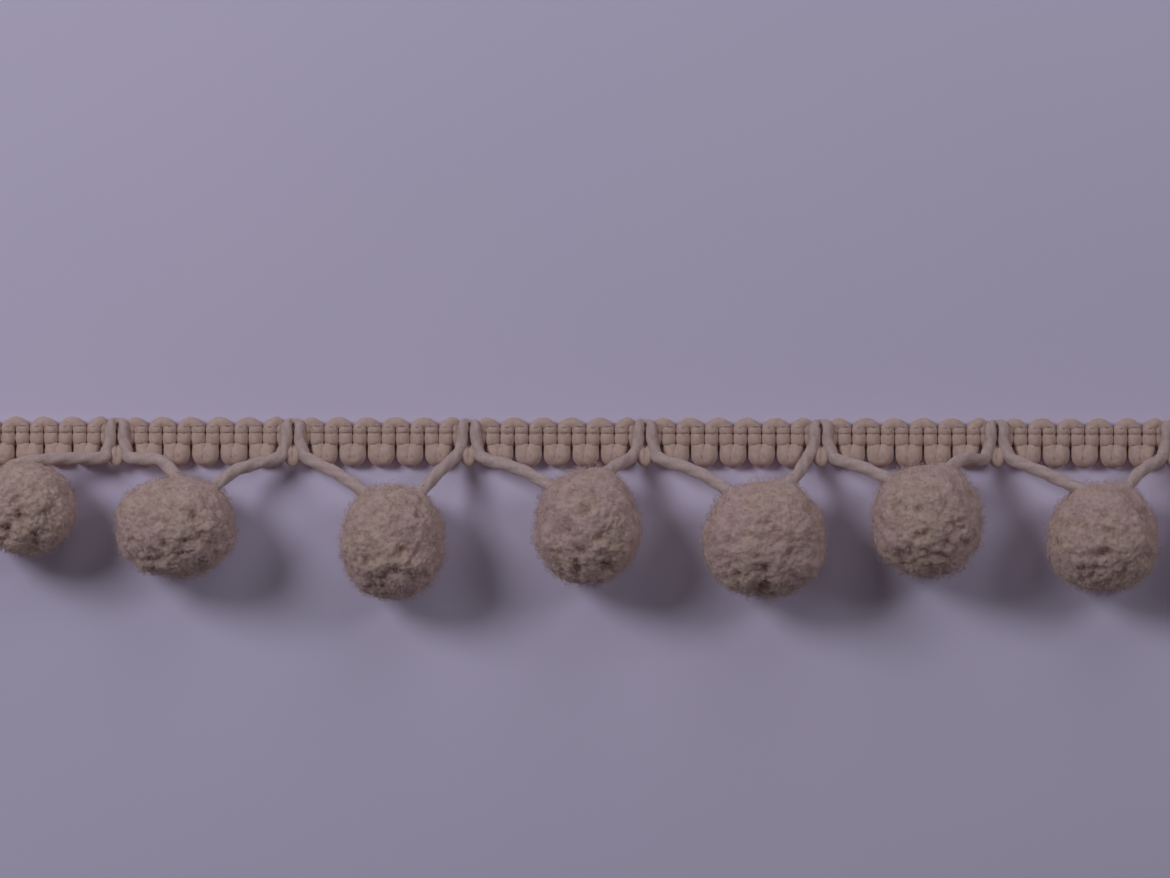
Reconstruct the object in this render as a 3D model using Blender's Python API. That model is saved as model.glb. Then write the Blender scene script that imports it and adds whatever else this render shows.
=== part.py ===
"""Pompom fringe trim: a woven heading braid, one carrier cord and eight balls of cut yarn.

The frame: +X runs along the trim, +Y points from the pompoms to the heading, and +Z points up from
the surface on which the trim lies flat. The origin is in the middle of the heading's flat back.
"""

import math
import random
from collections import namedtuple

import bmesh
import bpy
from mathutils import Matrix, Vector

# Driving dimensions, in metres.
PERIOD = 0.024  # along the heading, from one carrier group to the next
POMPOM_COUNT = 8
LOOPS_PER_PERIOD = 5  # full lower loops between two carrier groups
LOOP_PITCH = 0.0039  # two passes of the weft
CORD_RADIUS = 0.00075
GAP = 0.0003  # left between pieces that touch
PASSAGE_RADIUS = 0.0013  # the cord's, the gap, and a little for its flat sides
PARTED = 0.0026  # a lock whose end would lie this near the cord's route is left out

# Shares of a pompom's radius.
CORE_SHARE = 0.80  # the radius of its core
FLAT_SPOT = 0.93  # the height of its middle over the floor
ENTRY_RISE = 0.15  # how far above its middle the cord enters it
PASSAGE_REACH = 1.3  # how far from its middle its cord passage is cut
CORD_DIP = 0.45  # how deep the cord dips in it, as a share of the way between its two entries

# The locks of a pompom, as shares of its radius.
GROOVE = 0.07  # between two locks at their roots
LOCK_REACH = (0.87, 0.97)  # where the rounding of a lock's end begins, from the pompom's middle
LOCK_CROWN = 0.07  # how far its end is rounded up
LOCK_LEAN = 0.05  # how far its end leans over to any side
LOCK_TWIST = 0.35  # radians either way
LOCK_TAPER = 0.78  # width of its end, as a share of its root's

GROUP_WIDTH = PERIOD - LOOPS_PER_PERIOD * LOOP_PITCH
GROUP_COUNT = POMPOM_COUNT + 1

MM = 0.001

SHARP_ANGLE = math.radians(50.0)
WELD = 0.00001  # joins the loose ends of a tube to its wall

# The heading across its width, from the top edge down, with the heights of its front face, in mm: on the
# crest of a pass of the weft; between two lower loops, which is the middle of a top bump; in the middle of
# a lower loop, which is between two top bumps; and in a group, under the strands and midway between them.
HeadingRow = namedtuple("HeadingRow", "y crest between middle under_strand group_middle")
HEADING_ROWS = [
    HeadingRow(2.85, 1.75, 1.90, 1.05, 0.60, 0.60),  # top bumps
    HeadingRow(2.14, 1.35, 0.95, 0.85, 0.60, 0.60),  # first binding line
    HeadingRow(1.60, 2.00, 1.25, 1.25, 0.60, 0.60),  # first row of beads
    HeadingRow(1.05, 1.35, 0.90, 0.90, 0.60, 0.60),  # second binding line
    HeadingRow(0.33, 2.00, 1.20, 1.20, 0.60, 0.60),  # second row of beads
    HeadingRow(-0.40, 1.35, 0.85, 0.85, 0.60, 0.60),  # third binding line
    HeadingRow(-1.15, 2.00, 0.90, 1.55, 0.60, 1.50),  # upper part of the lower loops
    HeadingRow(-2.30, 1.90, 0.80, 2.00, 0.60, 1.70),  # lower part of the lower loops
]
# The scalloped edges, in mm, at the same five places, and how high the front face is there.
HeadingEdge = namedtuple("HeadingEdge", "crest between middle under_strand group_middle")
TOP_EDGE = HeadingEdge(3.30, 3.50, 2.80, 2.85, 2.95)
LOWER_EDGE = HeadingEdge(-3.05, -2.60, -3.20, -2.75, -3.35)
EDGE_HEIGHT = HeadingEdge(0.90, 0.90, 0.75, 0.50, 0.55)

# One group of the carrier cord, from where it leaves the heading at the lower left to the middle of its
# top turn, in mm from the group's middle. The other half is its mirror image.
GroupPoint = namedtuple("GroupPoint", "x y z")
GROUP_HALF = [
    GroupPoint(-2.05, -2.20, 2.80),
    GroupPoint(-1.30, -1.15, 2.15),
    GroupPoint(-1.07, 0.30, 1.70),
    GroupPoint(-1.05, 1.60, 1.66),
    GroupPoint(0.00, 2.40, 1.66),
]
STRAND_SPACING = -2 * GROUP_HALF[-2].x * MM  # between a group's two strands, where they are straight

# One row for each pompom, in mm: how far its middle lies to the right of the middle between its groups, and
# below the heading's middle, its width along X and its length along Y, and the seed of its locks.
PompomRow = namedtuple("PompomRow", "shift drop width length seed")
POMPOMS = [
    PompomRow(0.1, 9.1, 13.8, 12.8, 11),
    PompomRow(-3.5, 11.5, 16.8, 13.6, 12),
    PompomRow(1.8, 13.7, 14.4, 15.2, 13),
    PompomRow(4.2, 11.7, 14.8, 15.4, 14),
    PompomRow(4.1, 13.2, 17.0, 15.6, 15),
    PompomRow(2.0, 10.5, 15.4, 15.4, 16),
    PompomRow(1.8, 13.0, 15.3, 14.6, 17),
    PompomRow(-1.0, 12.6, 14.8, 15.0, 18),
]

# The cord at each pompom, in mm along X and Y from the pompom's middle: halfway to it, just inside it on
# both sides, and halfway back.
CordRow = namedtuple("CordRow", "halfway_to way_in way_out halfway_back")
CORD_AT_POMPOMS = [
    CordRow((-7.2, 6.7), (-5.0, 3.6), (-1.6, 5.8), (3.6, 6.8)),
    CordRow((-1.9, 8.8), (1.2, 5.2), (4.4, 4.6), (8.1, 7.7)),
    CordRow((-7.2, 9.2), (-2.8, 6.2), (3.3, 6.4), (6.2, 9.7)),
    CordRow((-9.3, 8.1), (-4.4, 5.4), (1.2, 6.6), (4.0, 8.7)),
    CordRow((-9.0, 9.2), (-4.0, 6.1), (2.4, 7.0), (4.6, 9.2)),
    CordRow((-8.3, 7.1), (-4.4, 5.2), (1.9, 6.4), (5.2, 8.4)),
    CordRow((-7.5, 8.9), (-2.2, 6.2), (2.4, 6.4), (5.3, 9.2)),
    CordRow((-8.0, 9.0), (-3.2, 6.2), (3.2, 6.2), (8.0, 9.2)),
]
ROUTE_STEPS = 2  # places worked out for each stretch between two points of the cord's route


def clear_scene():
    for obj in list(bpy.data.objects):
        bpy.data.objects.remove(obj)


def new_collection(name):
    collection = bpy.data.collections.new(name)
    bpy.context.scene.collection.children.link(collection)
    return collection


def cloth_material(name, colour, roughness):
    material = bpy.data.materials.new(name)
    material.use_nodes = True
    shader = material.node_tree.nodes["Principled BSDF"]
    shader.inputs["Base Color"].default_value = (*colour, 1.0)
    shader.inputs["Roughness"].default_value = roughness
    shader.inputs["Metallic"].default_value = 0.0
    return material


def group_x(index):
    """The middle of a carrier group along the heading."""
    return (index - (GROUP_COUNT - 1) / 2) * PERIOD


def pompom_middle(index):
    row = POMPOMS[index]
    between = (group_x(index) + group_x(index + 1)) / 2
    return Vector((between + row.shift * MM, -row.drop * MM, FLAT_SPOT * pompom_rise(row)))


def pompom_rise(row):
    """Half of a pompom's height: the mean of its half width and its half length."""
    return (row.width + row.length) / 4 * MM


# Heading -----------------------------------------------------------------------------------------


def loop_stations(start, loops):
    """Places along X and their kinds, from the first loop's left side to just before the last one's right."""
    stations = []
    for loop in range(loops):
        left = start + loop * LOOP_PITCH
        stations.append((left, "between"))
        stations.append((left + LOOP_PITCH / 4, "crest"))
        stations.append((left + LOOP_PITCH / 2, "middle"))
        stations.append((left + LOOP_PITCH * 3 / 4, "crest"))
    return stations


def group_stations(middle):
    """The sunk bed of one carrier group, with the narrow loop in its middle."""
    bed = STRAND_SPACING / 2 + CORD_RADIUS + GAP / 2
    slope = STRAND_SPACING / 2 - GAP / 2
    return [
        (middle - GROUP_WIDTH / 2, "between"),
        (middle - bed, "under_strand"),
        (middle - slope, "under_strand"),
        (middle, "group_middle"),
        (middle + slope, "under_strand"),
        (middle + bed, "under_strand"),
    ]


def heading_stations():
    """All the groups and the loops between them, with one loop more at both ends."""
    stations = loop_stations(group_x(0) - GROUP_WIDTH / 2 - LOOP_PITCH, 1)
    for group in range(GROUP_COUNT):
        stations += group_stations(group_x(group))
        loops = LOOPS_PER_PERIOD if group < GROUP_COUNT - 1 else 1
        stations += loop_stations(group_x(group) + GROUP_WIDTH / 2, loops)
    stations.append((stations[-1][0] + LOOP_PITCH / 4, "between"))
    return stations


def heading_point(station, row):
    """A point of the heading's front face. The first and the last row are its edges."""
    x, kind = station
    if row == 0:
        return Vector((x, getattr(TOP_EDGE, kind) * MM, getattr(EDGE_HEIGHT, kind) * MM))
    if row > len(HEADING_ROWS):
        return Vector((x, getattr(LOWER_EDGE, kind) * MM, getattr(EDGE_HEIGHT, kind) * MM))
    level = HEADING_ROWS[row - 1]
    return Vector((x, level.y * MM, getattr(level, kind) * MM))


def make_heading(collection, material):
    """A grid whose points are raised to the ribs, with sides down to a flat back at z = 0."""
    stations = heading_stations()
    columns = len(stations) - 1
    rows = len(HEADING_ROWS) + 1
    bm = bmesh.new()
    bmesh.ops.create_grid(bm, x_segments=columns, y_segments=rows, size=0.5)
    for vert in bm.verts:
        column = round((vert.co.x + 0.5) * columns)
        row = round((0.5 - vert.co.y) * rows)
        vert.co = heading_point(stations[column], row)
    rim = [edge for edge in bm.edges if edge.is_boundary]
    sides = bmesh.ops.extrude_edge_only(bm, edges=rim)
    for vert in sides["geom"]:
        if isinstance(vert, bmesh.types.BMVert):
            vert.co.z = 0.0
    bmesh.ops.contextual_create(bm, geom=[edge for edge in bm.edges if edge.is_boundary])
    bmesh.ops.recalc_face_normals(bm, faces=bm.faces[:])
    heading = mesh_object("heading_braid", bm, collection, material)
    heading.data.set_sharp_from_angle(angle=SHARP_ANGLE)
    return heading


def mesh_object(name, bm, collection, material):
    mesh = bpy.data.meshes.new(name)
    bm.to_mesh(mesh)
    bm.free()
    mesh.materials.append(material)
    mesh.shade_smooth()
    obj = bpy.data.objects.new(name, mesh)
    collection.objects.link(obj)
    return obj


# Carrier cord ------------------------------------------------------------------------------------


def group_route(index):
    """The cord's route over one group: up the left strand, over the top and down the right strand."""
    middle = group_x(index)
    left = [Vector((middle + p.x * MM, p.y * MM, p.z * MM)) for p in GROUP_HALF]
    right = [Vector((middle - p.x * MM, p.y * MM, p.z * MM)) for p in reversed(GROUP_HALF[:-1])]
    return left + right


def pompom_route(index, start, end):
    """The cord's route from one group to the next: out to the pompom, through it, and back."""
    row = CORD_AT_POMPOMS[index]
    middle = pompom_middle(index)
    entry_height = middle.z + ENTRY_RISE * pompom_rise(POMPOMS[index])
    way_in = cord_point(middle, row.way_in, entry_height)
    way_out = cord_point(middle, row.way_out, entry_height)
    dip = CORD_DIP * (way_out.x - way_in.x)
    deepest = way_in.lerp(way_out, 0.5) - Vector((0.0, dip, dip / 4))
    halfway_to = cord_point(middle, row.halfway_to, (start.z + entry_height) / 2)
    halfway_back = cord_point(middle, row.halfway_back, (end.z + entry_height) / 2)
    return [halfway_to, way_in, deepest, way_out, halfway_back]


def cord_point(middle, offset, height):
    return Vector((middle.x + offset[0] * MM, middle.y + offset[1] * MM, height))


def smooth_route(points, steps):
    """Points of a Catmull-Rom curve through the given ones."""
    route = []
    last = len(points) - 1
    for index in range(last):
        before = points[max(index - 1, 0)]
        here = points[index]
        there = points[index + 1]
        after = points[min(index + 2, last)]
        for step in range(steps):
            t = step / steps
            route.append(
                0.5
                * (
                    2 * here
                    + (there - before) * t
                    + (2 * before - 5 * here + 4 * there - after) * t * t
                    + (3 * here - before - 3 * there + after) * t**3
                )
            )
    route.append(points[-1].copy())
    return route


def tube(name, points, radius, collection):
    """A round cord along the points, eight-sided, with filled ends."""
    curve = bpy.data.curves.new(name, "CURVE")
    curve.dimensions = "3D"
    curve.bevel_depth = radius
    curve.bevel_resolution = 2
    curve.use_fill_caps = True
    spline = curve.splines.new("POLY")
    spline.points.add(len(points) - 1)
    for place, point in zip(spline.points, points):
        place.co = (*point, 1.0)
    obj = bpy.data.objects.new(name, curve)
    collection.objects.link(obj)
    return obj


def as_mesh(obj, collection):
    """The tube as a closed mesh in the place of its curve."""
    bpy.context.view_layer.update()
    graph = bpy.context.evaluated_depsgraph_get()
    mesh = bpy.data.meshes.new_from_object(obj.evaluated_get(graph))
    bm = bmesh.new()
    bm.from_mesh(mesh)
    bmesh.ops.remove_doubles(bm, verts=bm.verts[:], dist=WELD)
    bmesh.ops.recalc_face_normals(bm, faces=bm.faces[:])
    bm.to_mesh(mesh)
    bm.free()
    name = obj.name
    bpy.data.objects.remove(obj)
    solid = bpy.data.objects.new(name, mesh)
    collection.objects.link(solid)
    return solid


def cord_route():
    """The one cord's route, over every group and through every pompom."""
    groups = [group_route(index) for index in range(GROUP_COUNT)]
    groups[0] = groups[0][1:]
    groups[-1] = groups[-1][:-1]
    points = list(groups[0])
    for index in range(POMPOM_COUNT):
        points += pompom_route(index, groups[index][-1], groups[index + 1][0])
        points += groups[index + 1]
    return smooth_route(points, ROUTE_STEPS)


def make_carrier_cord(collection, material):
    cord = tube("carrier_cord", cord_route(), CORD_RADIUS, collection)
    cord.data.materials.append(material)
    return cord


# Pompoms -----------------------------------------------------------------------------------------


def thirty_faces(bm):
    """A unit ball of thirty like four-sided faces, one of them pointing straight down."""
    bmesh.ops.create_icosphere(bm, subdivisions=1, radius=1.0)
    long_diagonals = bm.edges[:]
    bmesh.ops.poke(bm, faces=bm.faces[:])
    bmesh.ops.dissolve_edges(bm, edges=long_diagonals, use_verts=False)
    for vert in bm.verts:
        vert.co.normalize()
    down = min(bm.faces, key=lambda face: face.calc_center_median().z).calc_center_median()
    turn = down.rotation_difference(Vector((0.0, 0.0, -1.0))).to_matrix()
    bmesh.ops.rotate(bm, verts=bm.verts[:], cent=(0.0, 0.0, 0.0), matrix=turn)


def passage_route(index):
    """The cord's route through one pompom, and a little beyond it on both sides."""
    middle = pompom_middle(index)
    reach = PASSAGE_REACH * pompom_rise(POMPOMS[index])
    return [point for point in cord_route() if (point - middle).length < reach]


def make_pompom(index, collection, cutters, material):
    """A core with thirty four-sided locks of yarn on it.

    Locks under it are shorter and end level on the floor, and those in the cord's way are parted from it.
    """
    row = POMPOMS[index]
    chance = random.Random(row.seed)
    half = Vector((row.width / 2 * MM, row.length / 2 * MM, pompom_rise(row)))
    middle = pompom_middle(index)
    route = passage_route(index)

    bm = bmesh.new()
    thirty_faces(bm)
    spin = Matrix.Rotation(chance.uniform(0.0, math.tau), 3, "Z")
    bmesh.ops.rotate(bm, verts=bm.verts[:], cent=(0.0, 0.0, 0.0), matrix=spin)
    roots = bm.faces[:]
    bmesh.ops.inset_individual(bm, faces=roots, thickness=GROOVE / 2)
    bmesh.ops.scale(bm, verts=bm.verts[:], vec=(CORE_SHARE, CORE_SHARE, CORE_SHARE))
    free = []
    for root in roots:
        outward = root.calc_center_median().normalized()
        outer = outward * LOCK_REACH[0] * half + middle
        if min((outer - point).length for point in route) > PARTED:
            free.append(root)
    tips = bmesh.ops.extrude_discrete_faces(bm, faces=free)["faces"]
    for tip in tips:
        root = tip.calc_center_median()
        reach = chance.uniform(*LOCK_REACH)
        lean = Vector([chance.uniform(-LOCK_LEAN, LOCK_LEAN) for axis in range(3)]).cross(root)
        twist = Matrix.Rotation(chance.uniform(-LOCK_TWIST, LOCK_TWIST), 3, root)
        for vert in tip.verts:
            vert.co = root.normalized() * reach + twist @ (vert.co - root) * LOCK_TAPER + lean
    bmesh.ops.poke(bm, faces=tips, offset=LOCK_CROWN)
    for vert in bm.verts:
        vert.co = vert.co * half + middle
        vert.co.z = max(vert.co.z, 0.0)
    pompom = mesh_object(f"pompom_{index + 1}", bm, collection, material)

    cutter = as_mesh(tube(f"passage_{index + 1}", route, PASSAGE_RADIUS, cutters), cutters)
    cutter.hide_render = True
    cutter.display_type = "WIRE"
    passage = pompom.modifiers.new("Cord passage", "BOOLEAN")
    passage.operation = "DIFFERENCE"
    passage.solver = "EXACT"
    passage.use_self = True
    passage.object = cutter
    return pompom


clear_scene()
trim = new_collection("pompom_fringe_trim")
cutters = new_collection("cutters")
heading_yarn = cloth_material("heading_yarn", (0.52, 0.38, 0.33), 0.95)
carrier_yarn = cloth_material("carrier_yarn", (0.56, 0.42, 0.37), 0.9)
pompom_yarn = cloth_material("pompom_yarn", (0.46, 0.33, 0.28), 1.0)
make_heading(trim, heading_yarn)
make_carrier_cord(trim, carrier_yarn)
for number in range(POMPOM_COUNT):
    make_pompom(number, trim, cutters, pompom_yarn)
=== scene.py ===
import math

import bmesh
import bpy
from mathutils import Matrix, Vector


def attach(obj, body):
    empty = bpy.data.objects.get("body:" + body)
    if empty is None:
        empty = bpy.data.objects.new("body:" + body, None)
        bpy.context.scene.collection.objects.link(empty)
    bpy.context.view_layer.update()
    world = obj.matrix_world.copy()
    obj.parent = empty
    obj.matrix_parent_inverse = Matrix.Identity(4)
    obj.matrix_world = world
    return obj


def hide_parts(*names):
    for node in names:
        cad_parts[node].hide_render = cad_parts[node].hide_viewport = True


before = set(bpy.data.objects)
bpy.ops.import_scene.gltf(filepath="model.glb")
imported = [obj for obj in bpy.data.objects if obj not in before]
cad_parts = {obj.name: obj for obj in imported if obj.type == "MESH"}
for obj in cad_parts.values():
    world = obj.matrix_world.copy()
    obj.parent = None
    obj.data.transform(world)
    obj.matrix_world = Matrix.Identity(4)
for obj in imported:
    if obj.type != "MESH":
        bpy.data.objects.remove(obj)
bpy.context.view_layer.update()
MM = 0.001


# Weft of the heading -------------------------------------------------------------------------------
# The heading is one thick, soft cotton roving laid to and fro across its width. Each pass is gripped by
# three binding lines, so that it swells into beads between them, a plump loop below and a bump above.
# Under each group of the carrier cord the roving is pressed flat, and only a narrow loop peeps out below.

PERIOD = 24.0 * MM  # along the heading, from one carrier group to the next
GROUPS = 9
LOOPS_PER_PERIOD = 5
LOOP_PITCH = 3.9 * MM
GROUP_WIDTH = PERIOD - LOOPS_PER_PERIOD * LOOP_PITCH
CUT_POINTS = 3  # of the first loop, which lie before the cut and are left out
TABLE_GAP = 0.02 * MM  # under the lowest yarn
PLY_LEVEL = 0.7  # the height on a round ply, of 1, that lies level with the yarn's own radius
FIBRE_DRAW = 0.14  # the width of a fibre's streak, of its length along the yarn
NOISE_RANGE = (0.3, 0.7)  # which noise from 0 to 1 seldom leaves

# Half of a plain loop, from the middle of a top bump down to the middle of the loop below it, in mm: how
# far each point lies from the line of its pass, towards the loop's middle, its place across the heading,
# its height and its radius.
PLAIN_PASS = [
    (-0.975, 2.65, 0.94, 0.80),
    (-0.46, 2.50, 0.94, 0.84),
    (-0.06, 2.16, 0.82, 0.86),
    (0.00, 1.70, 0.98, 1.00),
    (0.00, 1.26, 0.86, 0.91),
    (0.00, 0.80, 0.97, 1.00),
    (0.00, 0.20, 0.97, 1.01),
    (0.00, -0.25, 0.82, 0.88),
    (0.16, -0.72, 0.96, 1.06),
    (0.28, -1.34, 0.96, 1.18),
    (0.34, -1.92, 0.96, 1.17),
    (0.60, -2.20, 0.95, 1.08),
    (0.975, -2.22, 0.95, 1.02),
]
# The same half of the narrow loop in a carrier group, with its first column from the edge of the group.
GROUP_PASS = [
    (0.00, 2.74, 0.94, 0.80),
    (0.34, 2.40, 0.82, 0.68),
    (0.46, 1.70, 0.84, 0.72),
    (0.46, 1.26, 0.74, 0.62),
    (0.46, 0.50, 0.84, 0.72),
    (0.80, -0.30, 0.80, 0.58),
    (1.80, -0.90, 1.60, 0.56),
    (1.76, -1.50, 1.95, 0.70),
    (1.80, -2.20, 1.92, 0.74),
    (2.25, -2.70, 1.85, 0.70),
]
# The yarn that fills the fold of each lower loop, from its top down, in mm: its place across the heading,
# its height and its radius.
FOLD = [(-0.50, 0.72, 0.60), (-1.15, 1.04, 0.92), (-1.60, 1.08, 1.00), (-2.05, 1.06, 0.98)]
# The same for the yarn that shows in beads between the two strands of a group.
RIB = [
    (2.75, 0.70, 0.40), (2.12, 0.56, 0.30), (1.70, 0.86, 0.46), (1.26, 0.62, 0.32),
    (0.50, 0.90, 0.48), (-0.25, 0.80, 0.40), (-0.90, 1.40, 0.60),
]


def group_x(index):
    """The middle of a carrier group along the heading."""
    return (index - (GROUPS - 1) / 2) * PERIOD


def heading_parts():
    """The plain loops and the groups from left to right: the left end of each, and whether it is a group."""
    parts = [(group_x(0) - GROUP_WIDTH / 2 - LOOP_PITCH, False)]
    for index in range(GROUPS):
        parts.append((group_x(index) - GROUP_WIDTH / 2, True))
        loops = LOOPS_PER_PERIOD if index < GROUPS - 1 else 1
        first = group_x(index) + GROUP_WIDTH / 2
        parts += [(first + loop * LOOP_PITCH, False) for loop in range(loops)]
    return parts


def there_and_back(half, line, middle):
    """Points and radii along half of a loop, placed from the line, and back along its mirror image."""
    there = [(line + x * MM, y * MM, z * MM, r * MM) for x, y, z, r in half]
    back = [(2 * middle - x, y, z, r) for x, y, z, r in reversed(there[:-1])]
    return there + back


def weft_route():
    """The roving between its cut ends. Each loop stops one point short, where the next one starts."""
    route = []
    for left, in_group in heading_parts():
        if in_group:
            route += there_and_back(GROUP_PASS, left, left + GROUP_WIDTH / 2)[:-1]
        else:
            route += there_and_back(PLAIN_PASS, left + LOOP_PITCH / 4, left + LOOP_PITCH / 2)[:-1]
    return route[CUT_POINTS:-1]


def fold_routes():
    """The fold of each lower loop, and the rib of each group."""
    routes = []
    for left, in_group in heading_parts():
        middle = left + (GROUP_WIDTH if in_group else LOOP_PITCH) / 2
        routes.append([(middle, y * MM, z * MM, r * MM) for y, z, r in (RIB if in_group else FOLD)])
    return routes


def route_object(name, *routes):
    """An object of loose edges along the routes, with the radius kept for each point."""
    points = []
    edges = []
    for route in routes:
        first = len(points)
        points += route
        edges += [(index, index + 1) for index in range(first, len(points) - 1)]
    mesh = bpy.data.meshes.new(name)
    mesh.from_pydata([point[:3] for point in points], edges, [])
    radius = mesh.attributes.new("radius", "FLOAT", "POINT")
    radius.data.foreach_set("value", [point[3] for point in points])
    piece = bpy.data.objects.new(name, mesh)
    bpy.context.scene.collection.objects.link(piece)
    return piece


def put(tree, kind, inputs=None, **settings):
    """A new node with its settings, and with a link or a value for each input, by name or number."""
    node = tree.nodes.new(kind)
    for name, value in settings.items():
        setattr(node, name, value)
    for name, value in (inputs or {}).items():
        if isinstance(value, bpy.types.NodeSocket):
            tree.links.new(value, node.inputs[name])
        else:
            node.inputs[name].default_value = value
    return node


def sums(tree, operation, *values):
    """The result of a math node."""
    return put(tree, "ShaderNodeMath", dict(enumerate(values)), operation=operation).outputs[0]


def weighed(tree, start, *parts):
    """The start with each part added to it, where a part is a value and its weight."""
    total = start
    for value, weight in parts:
        total = sums(tree, "MULTIPLY_ADD", value, weight, total)
    return total


def vectors(tree, operation, first, second=None, scale=None):
    """The result of a vector math node."""
    inputs = {0: first}
    if second is not None:
        inputs[1] = second
    if scale is not None:
        inputs["Scale"] = scale
    return put(tree, "ShaderNodeVectorMath", inputs, operation=operation).outputs["Vector"]


def ramp(tree, value, low, high, first=0.0, last=1.0, kind="LINEAR"):
    """The first result at the low value, the last one at the high value, and a slope between them."""
    inputs = {0: value, 1: low, 2: high, 3: first, 4: last}
    return put(tree, "ShaderNodeMapRange", inputs, interpolation_type=kind).outputs[0]


def noise(tree, place, scale, detail, output=0):
    """Noise from 0 to 1, or a colour of it, whose lumps are about one over the scale across."""
    inputs = {"Vector": place, "Scale": scale, "Detail": detail}
    return put(tree, "ShaderNodeTexNoise", inputs).outputs[output]


def even_noise(tree, place, scale, detail):
    """Noise from -0.5 to 0.5."""
    return sums(tree, "SUBTRACT", noise(tree, place, scale, detail), 0.5)


def new_tree(name, entries):
    """A tree and its inputs by name. Each entry gives an input's first value, or its kind of socket."""
    kinds = {float: "NodeSocketFloat", int: "NodeSocketInt"}
    tree = bpy.data.node_groups.new(name, "GeometryNodeTree")
    tree.interface.new_socket("Geometry", in_out="INPUT", socket_type="NodeSocketGeometry")
    for label, value in entries.items():
        kind = kinds.get(type(value))
        entry = tree.interface.new_socket(label, in_out="INPUT", socket_type=kind or value)
        if kind:
            entry.default_value = value
    tree.interface.new_socket("Geometry", in_out="OUTPUT", socket_type="NodeSocketGeometry")
    return tree, tree.nodes.new("NodeGroupInput").outputs


def close_tree(tree, geometry, material):
    """Ends the tree with one plain, smooth mesh in its material."""
    plain = put(tree, "GeometryNodeRealizeInstances", {"Geometry": geometry})
    smooth = put(tree, "GeometryNodeSetShadeSmooth", {"Geometry": plain.outputs[0]})
    painted = put(tree, "GeometryNodeSetMaterial", {"Geometry": smooth.outputs[0], "Material": material})
    put(tree, "NodeGroupOutput", {"Geometry": painted.outputs[0]})


def caught(tree, geometry, kind, value):
    """The geometry with a value caught on its points, and that value."""
    node = tree.nodes.new("GeometryNodeCaptureAttribute")
    node.capture_items.new(kind, "Value")
    tree.links.new(geometry, node.inputs[0])
    tree.links.new(value, node.inputs[1])
    return node.outputs[0], node.outputs[1]


def stored(tree, geometry, name, value, kind="FLOAT"):
    """The geometry with a value kept on its points under a name that its material reads."""
    inputs = {"Geometry": geometry, "Name": name, "Value": value}
    return put(
        tree, "GeometryNodeStoreNamedAttribute", inputs, data_type=kind, domain="POINT",
    ).outputs[0]


def yarn_tree():
    """Sweeps a yarn along each route: round plies laid in a helix, and a soft unevenness."""
    tree, given = new_tree("yarn along a route", {
        "Sides": 12, "Step": 0.25 * MM, "Plies": 3, "Ply Depth": 0.05 * MM, "Lay": 4.0 * MM,
        "Unevenness": 0.05 * MM, "Lump": 1.0 * MM, "Material": "NodeSocketMaterial",
    })
    line = put(tree, "GeometryNodeMeshToCurve", {"Mesh": given["Geometry"]}).outputs[0]
    soft = put(tree, "GeometryNodeCurveSplineType", {"Curve": line}, spline_type="CATMULL_ROM").outputs[0]
    path = put(
        tree, "GeometryNodeResampleCurve", {"Curve": soft, "Length": given["Step"]}, mode="LENGTH",
    ).outputs[0]
    along = tree.nodes.new("GeometryNodeSplineParameter")
    place = tree.nodes.new("GeometryNodeInputPosition").outputs[0]
    path, middle = caught(tree, path, "VECTOR", place)
    path, length = caught(tree, path, "FLOAT", along.outputs["Length"])
    circle = {"Resolution": given["Sides"], "Radius": 1.0}
    ring = put(tree, "GeometryNodeCurvePrimitiveCircle", circle).outputs[0]
    ring, turn = caught(tree, ring, "FLOAT", along.outputs["Factor"])
    radius = tree.nodes.new("GeometryNodeInputRadius").outputs[0]
    swept = put(tree, "GeometryNodeCurveToMesh", {
        "Curve": path, "Profile Curve": ring, "Scale": radius, "Fill Caps": True,
    }).outputs[0]

    outward = vectors(tree, "NORMALIZE", vectors(tree, "SUBTRACT", place, middle))
    helix = sums(tree, "MULTIPLY_ADD", turn, given["Plies"], sums(tree, "DIVIDE", length, given["Lay"]))
    wave = sums(tree, "ABSOLUTE", sums(tree, "SINE", sums(tree, "MULTIPLY", helix, math.pi)))
    ply = sums(tree, "MULTIPLY", sums(tree, "SUBTRACT", wave, PLY_LEVEL), given["Ply Depth"])
    lumps = even_noise(tree, place, sums(tree, "DIVIDE", 1.0, given["Lump"]), 2.0)
    rise = weighed(tree, ply, (lumps, given["Unevenness"]))
    shaped = put(tree, "GeometryNodeSetPosition", {
        "Geometry": swept, "Offset": vectors(tree, "SCALE", outward, scale=rise),
    }).outputs[0]

    spot = put(tree, "ShaderNodeSeparateXYZ", {0: place}).outputs
    level = put(tree, "ShaderNodeCombineXYZ", {
        0: spot[0], 1: spot[1], 2: sums(tree, "MAXIMUM", spot[2], TABLE_GAP),
    }).outputs[0]
    shaped = put(tree, "GeometryNodeSetPosition", {"Geometry": shaped, "Position": level}).outputs[0]

    spin = sums(tree, "MULTIPLY", sums(tree, "DIVIDE", helix, given["Plies"]), math.tau)
    lay = put(tree, "ShaderNodeCombineXYZ", {
        0: sums(tree, "MULTIPLY", sums(tree, "COSINE", spin), MM),
        1: sums(tree, "MULTIPLY", sums(tree, "SINE", spin), MM),
        2: length,
    }).outputs[0]
    marked = stored(tree, shaped, "lay", lay, "FLOAT_VECTOR")
    marked = stored(tree, marked, "rise", sums(tree, "DIVIDE", ply, given["Ply Depth"]))
    close_tree(tree, marked, given["Material"])
    return tree


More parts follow.
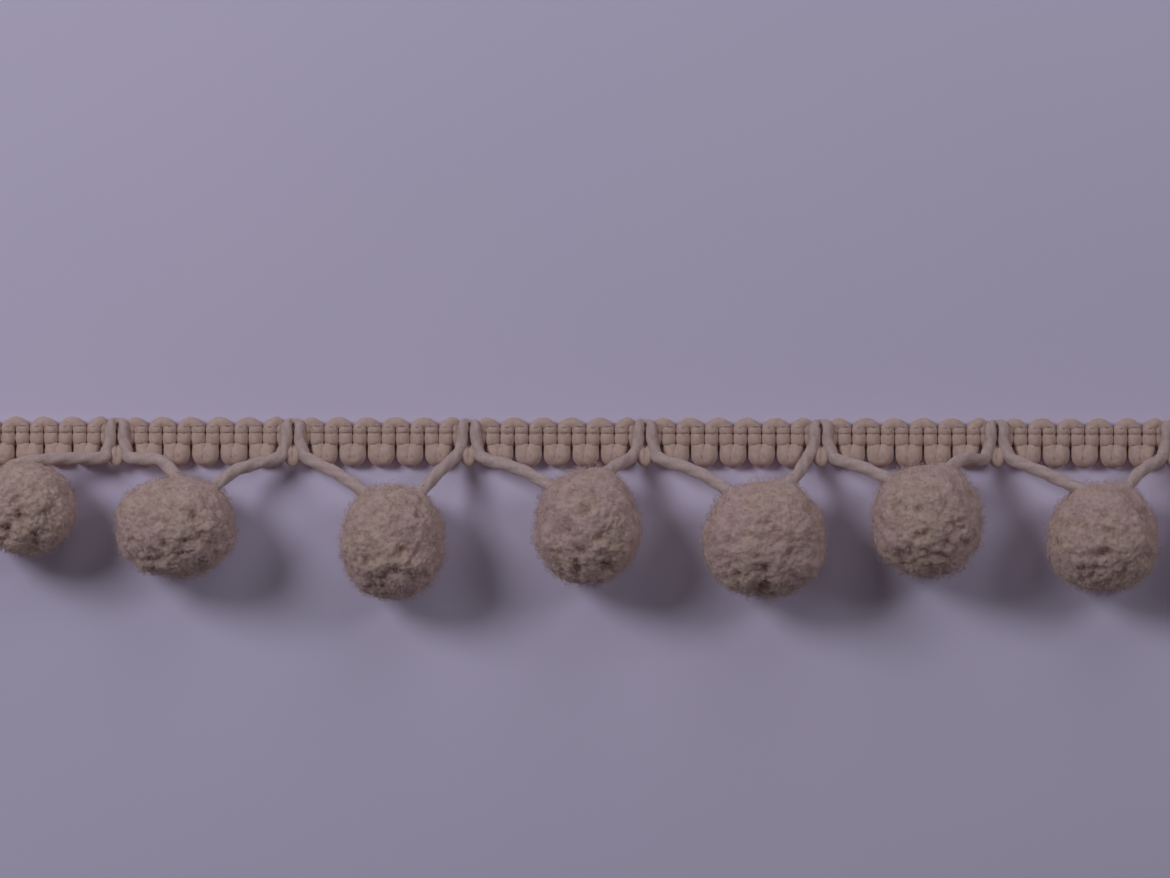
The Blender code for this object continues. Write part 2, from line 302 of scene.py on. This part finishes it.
def grow(piece, tree, **values):
    """Runs the tree on the piece, with its inputs set by name, and leaves the result as a plain mesh."""
    modifier = piece.modifiers.new(tree.name, "NODES")
    modifier.node_group = tree
    for entry in tree.interface.items_tree:
        label = entry.name.replace(" ", "_").lower()
        if entry.in_out == "INPUT" and label in values:
            modifier[entry.identifier] = values[label]
    bpy.context.view_layer.update()
    graph = bpy.context.evaluated_depsgraph_get()
    mesh = bpy.data.meshes.new_from_object(piece.evaluated_get(graph))
    piece.modifiers.clear()
    piece.data = mesh
    mesh.name = piece.name
    return piece


def new_material(name, values):
    """A material, its tree and its shader's inputs, with a value set for each input that is named."""
    material = bpy.data.materials.new(name)
    material.use_nodes = True
    inputs = material.node_tree.nodes["Principled BSDF"].inputs
    for label, value in values.items():
        inputs[label].default_value = value
    return material, material.node_tree, inputs


def blend(tree, share, first, second):
    """The first colour at a share of 0, the second at 1, and a mixture between them."""
    return put(tree, "ShaderNodeMix", {0: share, 6: first, 7: second}, data_type="RGBA").outputs[2]


def cotton(name, pale, deep, fibre_size, bump, sheen):
    """Spun cotton: streaks of fibre along the lay, painted shade in the grooves between the plies, and soft
    patches.
    """
    material, tree, inputs = new_material(name, {
        "Roughness": 0.95, "Specular IOR Level": 0.2,
        "Sheen Weight": sheen, "Sheen Roughness": 0.5, "Sheen Tint": (*pale, 1.0),
    })
    lay = put(tree, "ShaderNodeAttribute", attribute_name="lay").outputs["Vector"]
    rise = put(tree, "ShaderNodeAttribute", attribute_name="rise").outputs["Fac"]
    place = tree.nodes.new("ShaderNodeTexCoord").outputs["Object"]
    drawing = {"Vector": lay, "Scale": (1.0, 1.0, FIBRE_DRAW)}
    fibres = noise(tree, put(tree, "ShaderNodeMapping", drawing).outputs[0], 1.0 / fibre_size, 5.0)
    streak = ramp(tree, fibres, *NOISE_RANGE)
    patch = ramp(tree, noise(tree, place, 0.25 / fibre_size, 3.0), *NOISE_RANGE)
    # Painted shade: the colour darkens in the grooves between the plies, where shade falls in their crease.
    groove_shade = ramp(tree, rise, -PLY_LEVEL, 0.1, 0.25, 0.75)
    share = weighed(tree, 0.0, (groove_shade, 0.40), (patch, 0.40), (streak, 0.30))
    tree.links.new(blend(tree, share, (*deep, 1.0), (*pale, 1.0)), inputs["Base Color"])
    relief = put(tree, "ShaderNodeBump", {"Height": fibres, "Strength": bump, "Distance": 0.1 * MM})
    tree.links.new(relief.outputs[0], inputs["Normal"])
    return material


yarn_sweep = yarn_tree()
weft = grow(
    route_object("heading_weft", weft_route(), *fold_routes()), yarn_sweep, sides=16, step=0.20 * MM,
    plies=4, ply_depth=0.02 * MM, lay=3.4 * MM, unevenness=0.20 * MM, lump=0.8 * MM,
    material=cotton("weft_cotton", (0.76, 0.57, 0.47), (0.55, 0.38, 0.30), 0.16 * MM, 0.4, 0.3),
)
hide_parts("heading_braid")
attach(weft, "root")


# Binding threads -----------------------------------------------------------------------------------
# Three lines of fine spun thread run along the heading and hold the passes of the roving side by side.
# Each line is a pair: while one thread goes over a pass, the other goes under it, and then they change.

# All in mm. The heights are those of a thread's middle, where it goes under a pass and where it goes over
# it: a plain one, and one in a group, where the cord's strands press the roving down.
THREAD_RADIUS = 0.11
THREAD_LINES = (2.14, 1.26, -0.25)
THREAD_HALF_GAP = 0.07
THREAD_HOLD = 0.3
PLAIN_HEIGHTS = (0.16, 1.70)
GROUP_HEIGHTS = (0.13, 0.80)


def thread_route(line, side):
    """One thread of a pair, held level for a short way over or under each pass of the roving."""
    passes = []
    for left, in_group in heading_parts():
        width = GROUP_WIDTH if in_group else LOOP_PITCH
        passes += [(left + width / 4, in_group), (left + width * 3 / 4, in_group)]
    route = []
    y = (line + side * THREAD_HALF_GAP) * MM
    for number, (x, in_group) in enumerate(passes):
        over = (number % 2 == 0) == (side > 0)
        height = (GROUP_HEIGHTS if in_group else PLAIN_HEIGHTS)[over] * MM
        for step in (-THREAD_HOLD, THREAD_HOLD):
            route.append((x + step * MM, y, height, THREAD_RADIUS * MM))
    return route


threads = grow(
    route_object("binding_threads", *[thread_route(line, side) for line in THREAD_LINES for side in (-1, 1)]),
    yarn_sweep, sides=5, step=0.36 * MM, plies=2, ply_depth=0.02 * MM, lay=0.9 * MM,
    unevenness=0.02 * MM, lump=0.5 * MM,
    material=cotton("thread_cotton", (0.56, 0.39, 0.33), (0.34, 0.22, 0.18), 0.06 * MM, 0.4, 0.3),
)
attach(threads, "root")


# Carrier cord --------------------------------------------------------------------------------------
# One soft spun cord, paler and smoother than the roving. It climbs the front of the heading, turns at the
# top and comes down beside itself, goes out to a pompom, through it and back, and on to the next group.
# It follows the solid cord, but its two strands in a group lie a little closer together.

CORD_RADIUS = 0.84  # mm
# Half of a group, from where the cord leaves the heading to the middle of its turn, in mm: along the
# heading from the group's middle, across it, the height, and the cord's radius, which the turn pinches.
GROUP_HALF = [
    (-2.10, -2.20, 2.80, CORD_RADIUS),
    (-1.38, -1.15, 2.22, 0.79),
    (-0.94, 0.30, 1.80, 0.78),
    (-0.89, 1.50, 1.76, 0.77),
    (-0.86, 2.30, 1.48, 0.72),
    (-0.62, 2.72, 0.98, 0.54),
    (0.00, 2.84, 0.66, 0.38),
]
FLAT_SPOT = 0.93  # the height of a pompom's middle, of its half size, with its underside pressed level
ENTRY_RISE = 0.15  # the height of the cord over that middle, of the same half size
CORD_DIP = 0.45  # how far the cord dips inside a pompom, of the way between where it goes in and out

# One row for each pompom, in mm: how far its middle lies from the middle between its groups, and below
# the heading's middle, its width, its length and its seed.
POMPOMS = [
    (0.1, 9.1, 13.8, 12.8, 11),
    (-3.5, 11.5, 16.8, 13.6, 12),
    (1.8, 13.7, 14.4, 15.2, 13),
    (4.2, 11.7, 14.8, 15.4, 14),
    (4.1, 13.2, 17.0, 15.6, 15),
    (2.0, 10.5, 15.4, 15.4, 16),
    (1.8, 13.0, 15.3, 14.6, 17),
    (-1.0, 12.6, 14.8, 15.0, 18),
]
# The cord at each pompom, in mm from its middle: halfway to it, just inside it on both sides, and
# halfway back.
CORD_AT_POMPOMS = [
    ((-7.2, 6.7), (-5.0, 3.6), (-1.6, 5.8), (3.6, 6.8)),
    ((-1.9, 8.8), (1.2, 5.2), (4.4, 4.6), (8.1, 7.7)),
    ((-7.2, 9.2), (-2.8, 6.2), (3.3, 6.4), (6.2, 9.7)),
    ((-9.3, 8.1), (-4.4, 5.4), (1.2, 6.6), (4.0, 8.7)),
    ((-9.0, 9.2), (-4.0, 6.1), (2.4, 7.0), (4.6, 9.2)),
    ((-8.3, 7.1), (-4.4, 5.2), (1.9, 6.4), (5.2, 8.4)),
    ((-7.5, 8.9), (-2.2, 6.2), (2.4, 6.4), (5.3, 9.2)),
    ((-8.0, 9.0), (-3.2, 6.2), (3.2, 6.2), (8.0, 9.2)),
]


def pompom_rise(index):
    """Half of a pompom's height, which is the mean of its width and its length."""
    width, length = POMPOMS[index][2:4]
    return (width + length) / 4 * MM


def pompom_middle(index):
    """The middle of a pompom that rests on the table."""
    shift, drop = POMPOMS[index][:2]
    between = (group_x(index) + group_x(index + 1)) / 2
    return Vector((between + shift * MM, -drop * MM, FLAT_SPOT * pompom_rise(index)))


def pompom_route(index, start, end):
    """The cord from one group to the next, given the heights at which it leaves and meets them."""
    middle = pompom_middle(index)
    entry_height = middle.z + ENTRY_RISE * pompom_rise(index)
    heights = ((start + entry_height) / 2, entry_height, entry_height, (end + entry_height) / 2)
    halfway_to, way_in, way_out, halfway_back = [
        Vector((middle.x + x * MM, middle.y + y * MM, height))
        for (x, y), height in zip(CORD_AT_POMPOMS[index], heights)
    ]
    dip = CORD_DIP * (way_out.x - way_in.x)
    deepest = way_in.lerp(way_out, 0.5) - Vector((0.0, dip, dip / 4))
    points = (halfway_to, way_in, deepest, way_out, halfway_back)
    return [(*point, CORD_RADIUS * MM) for point in points]


def cord_route():
    """The whole cord, which is cut off in its first and its last group."""
    groups = [there_and_back(GROUP_HALF, group_x(index), group_x(index)) for index in range(GROUPS)]
    route = groups[0][1:]
    for index in range(len(POMPOMS)):
        before, after = groups[index:index + 2]
        route += pompom_route(index, before[-1][2], after[0][2]) + after
    return route[:-1]


cord_line = route_object("cord_line", cord_route())
carrier = grow(
    route_object("carrier", cord_route()), yarn_sweep, sides=16, step=0.28 * MM, plies=3,
    ply_depth=0.16 * MM, lay=3.4 * MM, unevenness=0.24 * MM, lump=0.6 * MM,
    material=cotton("carrier_cotton", (0.75, 0.58, 0.515), (0.48, 0.355, 0.31), 0.13 * MM, 0.6, 0.4),
)
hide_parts("carrier_cord")
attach(carrier, "root")


# Pompoms -------------------------------------------------------------------------------------------
# Each pompom is a hank of yarn tied round the carrier cord, cut and trimmed to a ball. Its cut ends curl
# over one another to a felt of tufts, with deeper creases where its locks part. They are drawn out and
# lie smoother along the cord, and are pressed level by the table.

CORE_SHARE = 0.96  # of the pompom's size, which the felt makes up to the whole
CORE_CUTS = 66  # across each side of the cube that the ball is rounded from
SQUARENESS = 2.2  # of the ball's outline, where 2 is round
NECK_WIDTH = 2.4 * MM  # of the yarn drawn out along the cord
CORD_CLEARANCE = 0.95 * MM  # from the middle of the cord to the yarn round it
SMOOTH_REACH = (1.0 * MM, 4.5 * MM)  # from there, over which the cord's smoothing of the felt ends
SMOOTH_SHARE = 0.25  # of the felt's height, which is left at the cord
FLOOR_SOFTNESS = 0.5 * MM  # the height over which the yarn gives way to the table

# The felt: how many lumps, and rags at the edge of a parting, go to a metre, and how wide its tufts and
# the yarn ends on them are, each with how far the creases between them wander.
LUMPS_PER_METRE = 330.0
RAGS_PER_METRE = 500.0
TUFT_SIZE, TUFT_BEND = 1.5 * MM, 1.2 * MM
END_SIZE, END_BEND = 0.55 * MM, 0.7 * MM
TUFT_CELL = 1.6  # how steeply a tuft falls from its top, of 1, to its crease
TUFT_LEVEL = 0.75  # the height on it that lies level with the ball
CREASE_LEVEL = 0.45  # the height over that level which a parting leaves alone
RAGGEDNESS = 2.4  # of a parting's edge, in its own widths, as the two below
PARTING_REACH = 1.9
NO_PARTING = 3.0

# The same counts for the patterns in the yarn's colour, from its fibres to its widest patches.
FIBRES_PER_METRE = 5000.0
SWIRLS_PER_METRE = 900.0
SWIRL_REACH = 1.2 * MM  # how far a swirl carries the fibres
PATCHES_PER_METRE = 350.0
WIDE_PATCHES_PER_METRE = 150.0

# The kinds of loose fibre, in mm: the root, the bend and the end of each, and its radius.
LOOSE_FIBRES = [
    ((0.0, 0.0, -0.1), (0.0, 0.2, 0.9), (0.8, 0.0, 0.4), 0.024),
    ((0.0, 0.0, -0.1), (0.1, 0.0, 0.7), (0.5, 0.4, 0.6), 0.024),
    ((0.0, 0.0, -0.1), (-0.3, 0.0, 0.6), (0.3, 0.5, 0.2), 0.028),
]
FIBRE_LEAN = 0.4  # radians
FIBRE_SCALES = (0.6, 1.3)
FIBRE_DENSITY = 9.0e6  # for each square metre, before those that stand too close are left out

# The partings between the locks of each pompom, in mm from its middle: along X, along Y, and how wide.
PARTINGS = [
    [(-0.4, 1.3, 1.1), (-0.1, 0.2, 1.6), (0.2, -1.0, 1.3),
     (-3.4, -0.3, 0.8), (-2.5, -3.1, 1.1), (2.6, -3.4, 0.7)],
    [(1.5, -3.7, 1.1), (-2.5, -4.7, 1.0), (5.1, -1.9, 0.7),
     (3.4, 1.6, 0.6), (-0.6, -2.4, 0.6)],
    [(1.5, -1.3, 0.7), (-1.5, -5.2, 1.2), (0.6, -3.8, 0.9),
     (4.1, 4.6, 0.8), (-3.3, -2.6, 0.7), (3.2, 1.8, 0.6)],
    [(2.7, -0.8, 1.2), (-0.6, 2.7, 0.7), (-1.2, -3.0, 0.7),
     (-4.5, -2.8, 0.8), (2.5, -4.8, 1.0), (-1.6, -5.4, 0.9)],
    [(-0.5, -3.9, 0.8), (-0.7, -6.9, 1.3), (3.2, -1.4, 0.5),
     (-3.4, 1.2, 0.5), (1.4, 1.8, 0.5), (-3.9, -4.6, 0.6)],
    [(3.3, -0.6, 1.0), (-1.4, -1.9, 0.8), (-3.0, -4.8, 1.2),
     (1.1, -4.6, 1.1), (-1.9, 1.7, 0.5), (5.0, -3.0, 0.6)],
    [(-2.6, -4.7, 1.2), (5.3, 3.6, 0.9), (-0.7, -1.8, 0.7),
     (2.0, -4.5, 0.8), (-0.4, 1.4, 0.5)],
    [(-2.2, -4.0, 1.0), (1.8, -1.2, 0.8), (3.4, -4.0, 0.8),
     (-4.2, 1.0, 0.6)],
]
# How far the yarn of each pompom is drawn out from an even ball, in mm: all over the side towards the
# heading, and along the cord where it goes in and where it comes out.
DRAWN_OUT = [
    (0.2, 0.4, 0.8),
    (0.0, 0.8, 0.4),
    (0.6, 0.3, 0.4),
    (0.6, 0.3, 1.2),
    (0.4, 0.4, 1.6),
    (0.1, 0.3, 1.5),
    (0.4, 0.5, 1.0),
    (0.5, 0.4, 0.8),
]


def pompom_yarn():
    """Soft cut cotton: felted fibres, pale on the tufts and darker and warm between them as painted shade,
    with wide soft patches.
    """
    material, tree, inputs = new_material("pompom_yarn", {
        "Roughness": 1.0, "Specular IOR Level": 0.1,
        "Sheen Weight": 0.3, "Sheen Roughness": 0.5, "Sheen Tint": (0.85, 0.72, 0.66, 1.0),
    })
    place = tree.nodes.new("ShaderNodeTexCoord").outputs["Object"]
    tip = put(tree, "ShaderNodeAttribute", attribute_name="tip").outputs["Fac"]
    swirl = noise(tree, place, SWIRLS_PER_METRE, 1.0, "Color")
    swirled = vectors(tree, "ADD", place, vectors(tree, "SCALE", swirl, scale=SWIRL_REACH))
    fibres = noise(tree, swirled, FIBRES_PER_METRE, 4.0)
    streak = ramp(tree, fibres, *NOISE_RANGE)
    patch = ramp(tree, noise(tree, place, PATCHES_PER_METRE, 2.0), *NOISE_RANGE)
    wide_patch = ramp(tree, noise(tree, place, WIDE_PATCHES_PER_METRE, 1.0), 0.4, 0.6)
    # Painted shade: a low painted lightness pulls the yarn towards the deep brown in the creases between
    # tufts and in the partings.
    share = weighed(tree, 0.0, (streak, 0.16), (patch, 0.16), (tip, 0.70))
    pale = blend(tree, wide_patch, (0.79, 0.605, 0.49, 1.0), (0.80, 0.585, 0.525, 1.0))
    tree.links.new(blend(tree, share, (0.36, 0.23, 0.18, 1.0), pale), inputs["Base Color"])
    relief = put(tree, "ShaderNodeBump", {"Height": fibres, "Strength": 0.7, "Distance": 0.12 * MM})
    tree.links.new(relief.outputs[0], inputs["Normal"])
    return material


def fibre(tree, root, bend, end, radius):
    """One loose fibre, of three sides, that stands on the surface and curls over."""
    start, middle, stop = [tuple(part * MM for part in point) for point in (root, bend, end)]
    line = {"Resolution": 3, "Start": start, "Middle": middle, "End": stop}
    spine = put(tree, "GeometryNodeCurveQuadraticBezier", line).outputs[0]
    circle = {"Resolution": 3, "Radius": radius * MM}
    ring = put(tree, "GeometryNodeCurvePrimitiveCircle", circle).outputs[0]
    sweep = {"Curve": spine, "Profile Curve": ring, "Fill Caps": True}
    tube = put(tree, "GeometryNodeCurveToMesh", sweep).outputs[0]
    return put(tree, "GeometryNodeGeometryToInstance", {"Geometry": tube}).outputs[0]


def joined(tree, parts):
    """All the parts as one geometry."""
    node = tree.nodes.new("GeometryNodeJoinGeometry")
    for part in parts:
        tree.links.new(part, node.inputs[0])
    return node.outputs[0]


def planted(tree, surface, kinds, spacing, seed):
    """Fibres of the given kinds all over the surface, each turned and leaning its own way."""
    points = put(tree, "GeometryNodeDistributePointsOnFaces", {
        "Mesh": surface, "Distance Min": spacing, "Density Max": FIBRE_DENSITY, "Seed": seed,
    }, distribute_method="POISSON")
    turn = put(tree, "FunctionNodeRandomValue", {
        0: (-FIBRE_LEAN, -FIBRE_LEAN, 0.0), 1: (FIBRE_LEAN, FIBRE_LEAN, math.tau), "Seed": 2,
    }, data_type="FLOAT_VECTOR").outputs[0]
    spin = put(tree, "FunctionNodeEulerToRotation", {0: turn}).outputs[0]
    rotation = put(tree, "FunctionNodeRotateRotation", {
        "Rotation": points.outputs["Rotation"], "Rotate By": spin,
    }, rotation_space="LOCAL").outputs[0]
    size = put(tree, "FunctionNodeRandomValue", {
        2: FIBRE_SCALES[0], 3: FIBRE_SCALES[1], "Seed": 3,
    }, data_type="FLOAT").outputs[1]
    kind = put(tree, "FunctionNodeRandomValue", {
        4: 0, 5: len(kinds) - 1, "Seed": 4,
    }, data_type="INT").outputs[2]
    return put(tree, "GeometryNodeInstanceOnPoints", {
        "Points": points.outputs["Points"], "Instance": joined(tree, kinds), "Pick Instance": True,
        "Instance Index": kind, "Rotation": rotation, "Scale": size,
    }).outputs[0]


def tufts(tree, place, size, bend):
    """The height, from 0 at their level, of rounded tufts parted by fine creases that wander."""
    colour = noise(tree, place, 0.6 / size, 1.0, "Color")
    bent = vectors(tree, "SCALE", vectors(tree, "SUBTRACT", colour, (0.5, 0.5, 0.5)), scale=bend)
    cell = put(tree, "ShaderNodeTexVoronoi", {
        "Vector": vectors(tree, "ADD", place, bent), "Scale": 1.0 / size, "Smoothness": 0.6,
    }, feature="SMOOTH_F1").outputs["Distance"]
    slope = sums(tree, "MULTIPLY", sums(tree, "MULTIPLY", cell, cell), TUFT_CELL)
    return sums(tree, "SUBTRACT", sums(tree, "SUBTRACT", 1.0, slope), TUFT_LEVEL)


def pompom_tree():
    """Raises the felt on a ball, paints shade into its creases, plants loose fibres, clears the cord and
    presses the ball on the table.
    """
    tree, given = new_tree("ball of cut yarn", {
        "Cord": "NodeSocketObject", "Fibre Spacing": 0.44 * MM, "Lumps": 1.2 * MM, "Tufts": 0.42 * MM,
        "Yarn Ends": 0.24 * MM, "Parting Depth": 0.9 * MM, "Seed": 1, "Material": "NodeSocketMaterial",
    })
    place = tree.nodes.new("GeometryNodeInputPosition").outputs[0]
    cord = put(tree, "GeometryNodeObjectInfo", {"Object": given["Cord"]}).outputs["Geometry"]
    nearest = put(tree, "GeometryNodeProximity", {0: cord}, target_element="EDGES")
    loose = ramp(tree, nearest.outputs["Distance"], *SMOOTH_REACH, SMOOTH_SHARE, 1.0)
    distance = put(tree, "GeometryNodeInputNamedAttribute", {"Name": "parting"}, data_type="FLOAT").outputs[0]
    ragged = weighed(tree, distance, (even_noise(tree, place, RAGS_PER_METRE, 2.0), RAGGEDNESS))
    parting = ramp(tree, ragged, PARTING_REACH, 0.0, 0.0, 1.0, "SMOOTHSTEP")

    lump = even_noise(tree, place, LUMPS_PER_METRE, 1.0)
    tuft = tufts(tree, place, TUFT_SIZE, TUFT_BEND)
    yarn_end = tufts(tree, place, END_SIZE, END_BEND)
    gap = sums(tree, "MULTIPLY", parting, sums(tree, "SUBTRACT", CREASE_LEVEL, tuft))
    relief = weighed(
        tree, 0.0, (lump, given["Lumps"]), (tuft, given["Tufts"]), (yarn_end, given["Yarn Ends"]),
    )
    depth = sums(tree, "MULTIPLY", gap, given["Parting Depth"])
    rise = sums(tree, "SUBTRACT", sums(tree, "MULTIPLY", relief, loose), depth)
    # Painted shade: the colour stays pale on the tops of the tufts and yarn ends, and darkens down their
    # sides and in the partings, where shade falls.
    tip = weighed(tree, 0.80, (yarn_end, 0.26), (tuft, 0.30), (gap, -0.50))
    normal = tree.nodes.new("GeometryNodeInputNormal").outputs[0]
    core = put(tree, "GeometryNodeSetPosition", {
        "Geometry": stored(tree, given["Geometry"], "tip", tip),
        "Offset": vectors(tree, "SCALE", normal, scale=rise),
    }).outputs[0]

    kinds = [fibre(tree, *kind) for kind in LOOSE_FIBRES]
    stray = planted(tree, core, kinds, given["Fibre Spacing"], given["Seed"])
    stray = put(tree, "GeometryNodeRealizeInstances", {"Geometry": stray}).outputs[0]
    # The loose fibres take no painted shade.
    whole = joined(tree, (core, stored(tree, stray, "tip", 1.0)))

    away = vectors(tree, "NORMALIZE", vectors(tree, "SUBTRACT", place, nearest.outputs["Position"]))
    short = sums(tree, "SUBTRACT", CORD_CLEARANCE, nearest.outputs["Distance"])
    clear = put(tree, "GeometryNodeSetPosition", {
        "Geometry": whole, "Offset": vectors(tree, "SCALE", away, scale=sums(tree, "MAXIMUM", short, 0.0)),
    }).outputs[0]

    spot = put(tree, "ShaderNodeSeparateXYZ", {0: place}).outputs
    root = sums(tree, "SQRT", sums(tree, "MULTIPLY_ADD", spot[2], spot[2], FLOOR_SOFTNESS**2))
    height = sums(tree, "MULTIPLY", sums(tree, "ADD", spot[2], root), 0.5)
    level = put(tree, "ShaderNodeCombineXYZ", {0: spot[0], 1: spot[1], 2: height}).outputs[0]
    rested = put(tree, "GeometryNodeSetPosition", {"Geometry": clear, "Position": level}).outputs[0]
    close_tree(tree, rested, given["Material"])
    return tree


def pompom_core(index):
    """The dense ball, rounded from a cube but for a little, with each point's distance to a parting."""
    width, length = POMPOMS[index][2:4]
    half = Vector((width / 2 * MM, length / 2 * MM, pompom_rise(index)))
    middle = pompom_middle(index)
    leave = GROUP_HALF[0][2] * MM
    halfway_to, way_in, _, way_out, halfway_back = [
        Vector(point[:3]) for point in pompom_route(index, leave, leave)
    ]
    crown, rise_in, rise_out = DRAWN_OUT[index]
    necks = [
        (way_in, (halfway_to - way_in).normalized() * rise_in * MM),
        (way_out, (halfway_back - way_out).normalized() * rise_out * MM),
    ]
    bm = bmesh.new()
    bmesh.ops.create_cube(bm, size=2.0)
    bmesh.ops.subdivide_edges(bm, edges=bm.edges[:], cuts=CORE_CUTS, use_grid_fill=True)
    parting = bm.verts.layers.float.new("parting")
    for vert in bm.verts:
        way = Vector([math.tan(part * math.pi / 4) for part in vert.co]).normalized()
        way /= sum(abs(part) ** SQUARENESS for part in way) ** (1 / SQUARENESS)
        spot = way * half
        reaches = [NO_PARTING]
        if spot.z > 0.0:
            reaches += [
                (spot.xy - Vector((x, y)) * MM).length / (wide * MM) for x, y, wide in PARTINGS[index]
            ]
        vert[parting] = min(reaches)
        towards_heading = max(way.y, 0.0) ** 3
        vert.co = spot * CORE_SHARE + middle + Vector((0.0, towards_heading * crown * MM, 0.0))
        drawn = [math.exp(-((vert.co - entry).length / NECK_WIDTH) ** 2) * rise for entry, rise in necks]
        vert.co += drawn[0] + drawn[1]
    mesh = bpy.data.meshes.new(f"pompom_ball_{index + 1}")
    bm.to_mesh(mesh)
    bm.free()
    core = bpy.data.objects.new(mesh.name, mesh)
    bpy.context.scene.collection.objects.link(core)
    return core


ball_tree = pompom_tree()
ball_yarn = pompom_yarn()
for number in range(len(POMPOMS)):
    pompom = grow(
        pompom_core(number), ball_tree, cord=cord_line, seed=POMPOMS[number][4], material=ball_yarn,
    )
    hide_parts(f"pompom_{number + 1}")
    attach(pompom, "root")
bpy.data.objects.remove(cord_line)


# Table ---------------------------------------------------------------------------------------------
# The trim lies flat on a plain pale table top, which is not part of it.

TABLE_WIDTH = 3.0
MOTTLES_PER_METRE = 14.0

bpy.ops.mesh.primitive_plane_add(size=TABLE_WIDTH)
table = bpy.context.object
table.name = "table"
table_top, tree, inputs = new_material("pale_table_top", {"Roughness": 0.9, "Specular IOR Level": 0.1})
mottle = noise(tree, tree.nodes.new("ShaderNodeTexCoord").outputs["Object"], MOTTLES_PER_METRE, 2.0)
colour = blend(tree, mottle, (0.77, 0.715, 0.88, 1.0), (0.83, 0.745, 0.90, 1.0))
tree.links.new(colour, inputs["Base Color"])
table.data.materials.append(table_top)


# Light and camera ----------------------------------------------------------------------------------
# Three soft lamps stand above the heading, the strongest of them at the left, in a dim room. The camera
# looks straight down on the trim, a little left of its middle.

AIM = Vector((-8.2, 0.50, 0.0)) * MM
LAMP_COLOUR = (0.86, 0.87, 1.0)
# Where each lamp stands, its width and its power, in metres and watts.
LAMPS = {
    "left_lamp": ((-0.36, 0.20, 0.36), 0.19, 0.90),
    "right_lamp": ((0.36, 0.19, 0.36), 0.19, 0.37),
    "top_lamp": ((0.05, 0.26, 0.20), 0.22, 0.09),
}
ROOM_COLOUR = (0.95, 0.90, 1.0, 1.0)
ROOM_STRENGTH = 0.065
VIEW_WIDTH = 160.0 * MM
CAMERA_HEIGHT = 0.6
CAMERA_TURN = math.radians(0.10)

for name, (place, width, power) in LAMPS.items():
    light = bpy.data.lights.new(name, "AREA")
    light.shape = "DISK"
    light.size = width
    light.energy = power
    light.color = LAMP_COLOUR
    lamp = bpy.data.objects.new(name, light)
    lamp.location = place
    lamp.rotation_euler = (AIM - lamp.location).to_track_quat("-Z", "Y").to_euler()
    bpy.context.scene.collection.objects.link(lamp)

room = bpy.data.worlds.new("dim_room")
room.use_nodes = True
room.node_tree.nodes["Background"].inputs["Color"].default_value = ROOM_COLOUR
room.node_tree.nodes["Background"].inputs["Strength"].default_value = ROOM_STRENGTH
bpy.context.scene.world = room
bpy.context.scene.view_settings.view_transform = "Standard"

lens = bpy.data.cameras.new("camera")
lens.sensor_width = 36.0
lens.lens = lens.sensor_width * CAMERA_HEIGHT / VIEW_WIDTH
lens.clip_start = 0.01
camera = bpy.data.objects.new("camera", lens)
camera.location = AIM + Vector((0.0, 0.0, CAMERA_HEIGHT))
camera.rotation_euler = (0.0, 0.0, CAMERA_TURN)
bpy.context.scene.collection.objects.link(camera)
bpy.context.scene.camera = camera
